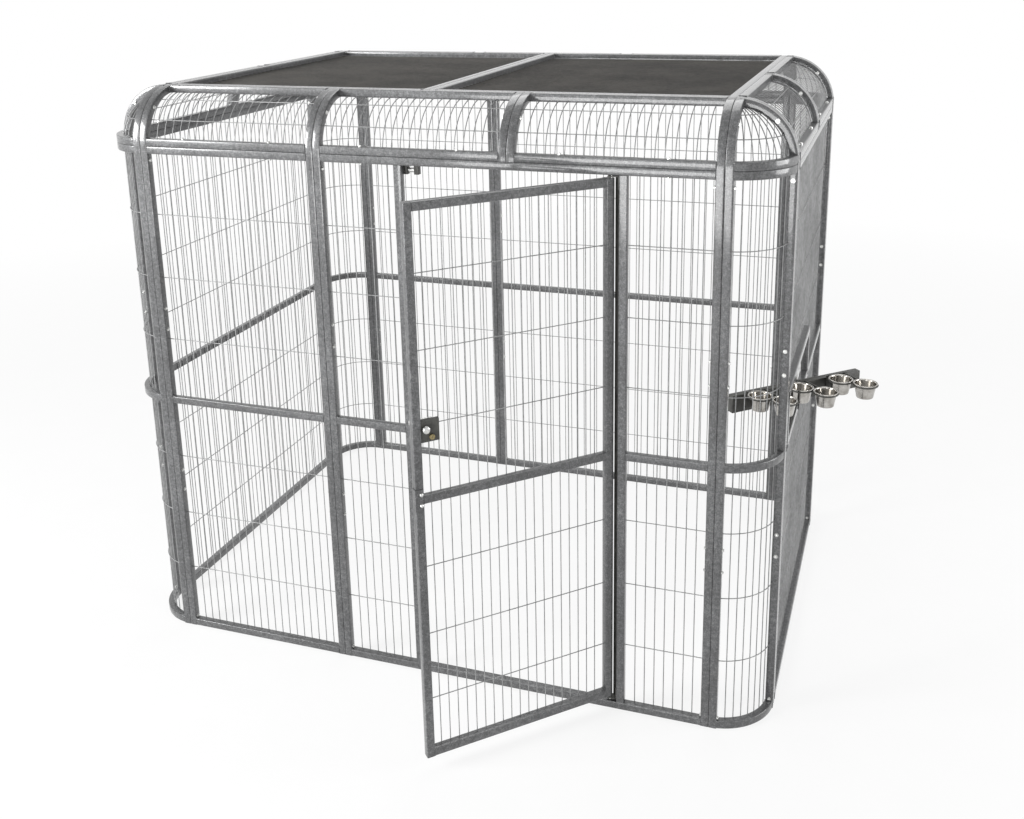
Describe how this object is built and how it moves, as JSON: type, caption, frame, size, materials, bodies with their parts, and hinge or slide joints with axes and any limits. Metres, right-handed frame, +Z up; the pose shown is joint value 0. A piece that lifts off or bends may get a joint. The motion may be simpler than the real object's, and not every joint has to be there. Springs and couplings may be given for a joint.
{
  "type": "walk-in aviary",
  "caption": "Walk-in aviary of square tube and welded wire with rounded corners, a hinged door with a lock, and a revolving feeder with lift-out cups.",
  "frame": {"origin": "on the floor, under the middle of the front sill, halfway through the tube", "axes": "+Z up; -Y is the front, where the door is; +X is the side with the feeder"},
  "size_m": [2.5029, 2.078, 1.945],
  "materials": {
    "silver_paint": "silver-grey hammered powder coat",
    "dark_steel": "near-black satin paint",
    "stainless": "polished stainless steel",
    "brass": "dull brass"
  },
  "bodies": {
    "cage": {"wall_front_left": "silver_paint", "wall_front_door": "silver_paint", "wall_back_left": "silver_paint", "wall_back_right": "silver_paint", "wall_left": "silver_paint", "wall_right": "silver_paint", "corner_front_left": "silver_paint", "corner_front_right": "silver_paint", "corner_back_left": "silver_paint", "corner_back_right": "silver_paint", "top_corner_front_left": "silver_paint", "top_corner_front_right": "silver_paint", "top_corner_back_left": "silver_paint", "top_corner_back_right": "silver_paint", "top_edge_front_1": "silver_paint", "top_edge_front_2": "silver_paint", "top_edge_front_3": "silver_paint", "top_edge_back_1": "silver_paint", "top_edge_back_2": "silver_paint", "top_edge_back_3": "silver_paint", "top_edge_left_1": "silver_paint", "top_edge_left_2": "silver_paint", "top_edge_right_1": "silver_paint", "top_edge_right_2": "silver_paint", "roof_left": "silver_paint", "roof_right": "silver_paint", "hinge_bracket_bottom": "dark_steel", "hinge_bracket_top": "dark_steel", "door_stop_strip": "dark_steel", "catch_strike": "stainless", "keeper_bracket": "dark_steel", "keeper_stud": "stainless", "feeder_pivot_base": "dark_steel", "feeder_washer": "stainless", "feeder_pivot_pin": "stainless"},
    "door": {"door_leaf": "silver_paint", "hinge_pin_bottom": "dark_steel", "hinge_pin_top": "dark_steel", "lock_case": "dark_steel", "lock_cylinder": "brass", "bolt_guide": "dark_steel", "door_catch": "stainless"},
    "lock_spindle": {"lock_knob": "stainless"},
    "lock_slide": {"lock_bolt": "stainless"},
    "feeder": {"feeder_beam": "dark_steel", "cup_holder_1": "dark_steel", "cup_holder_2": "dark_steel", "cup_holder_3": "dark_steel"},
    "loose_cup_1": {"cup_1": "stainless"},
    "loose_cup_2": {"cup_2": "stainless"},
    "loose_cup_3": {"cup_3": "stainless"},
    "loose_cup_4": {"cup_4": "stainless"},
    "loose_cup_5": {"cup_5": "stainless"},
    "loose_cup_6": {"cup_6": "stainless"}
  },
  "joints": [
    {"name": "door_hinge", "type": "hinge", "parent": "cage", "child": "door", "pos_m": [0.631, -0.0065, 0.88], "axis": [0, 0, 1], "range_deg": [-45.6, 89.4]},
    {"name": "lock_turn", "type": "hinge", "parent": "door", "child": "lock_spindle", "pos_m": [0.21794, -0.43688, 1.0935], "axis": [0.7145, -0.6997, 0], "range_deg": [0, 180]},
    {"name": "lock_throw", "type": "slide", "parent": "door", "child": "lock_slide", "axis": [-0.6997, -0.7145, 0], "range_m": [0, 0.02985]},
    {"name": "feeder_turn", "type": "hinge", "parent": "cage", "child": "feeder", "pos_m": [1.1155, 0.5455, 0.93], "axis": [0, 0, 1], "range_deg": [-133.4, 46.6]},
    {"name": "cup_1_lift", "type": "slide", "parent": "feeder", "child": "loose_cup_1", "axis": [0, 0, 1], "range_m": [0, 0.048]},
    {"name": "cup_2_lift", "type": "slide", "parent": "feeder", "child": "loose_cup_2", "axis": [0, 0, 1], "range_m": [0, 0.048]},
    {"name": "cup_3_lift", "type": "slide", "parent": "feeder", "child": "loose_cup_3", "axis": [0, 0, 1], "range_m": [0, 0.048]},
    {"name": "cup_4_lift", "type": "slide", "parent": "feeder", "child": "loose_cup_4", "axis": [0, 0, 1], "range_m": [0, 0.048]},
    {"name": "cup_5_lift", "type": "slide", "parent": "feeder", "child": "loose_cup_5", "axis": [0, 0, 1], "range_m": [0, 0.048]},
    {"name": "cup_6_lift", "type": "slide", "parent": "feeder", "child": "loose_cup_6", "axis": [0, 0, 1], "range_m": [0, 0.048]}
  ],
  "couplings": [
    {"joint": "lock_throw", "follows": "lock_turn", "m_per_rad": 0.0095}
  ]
}
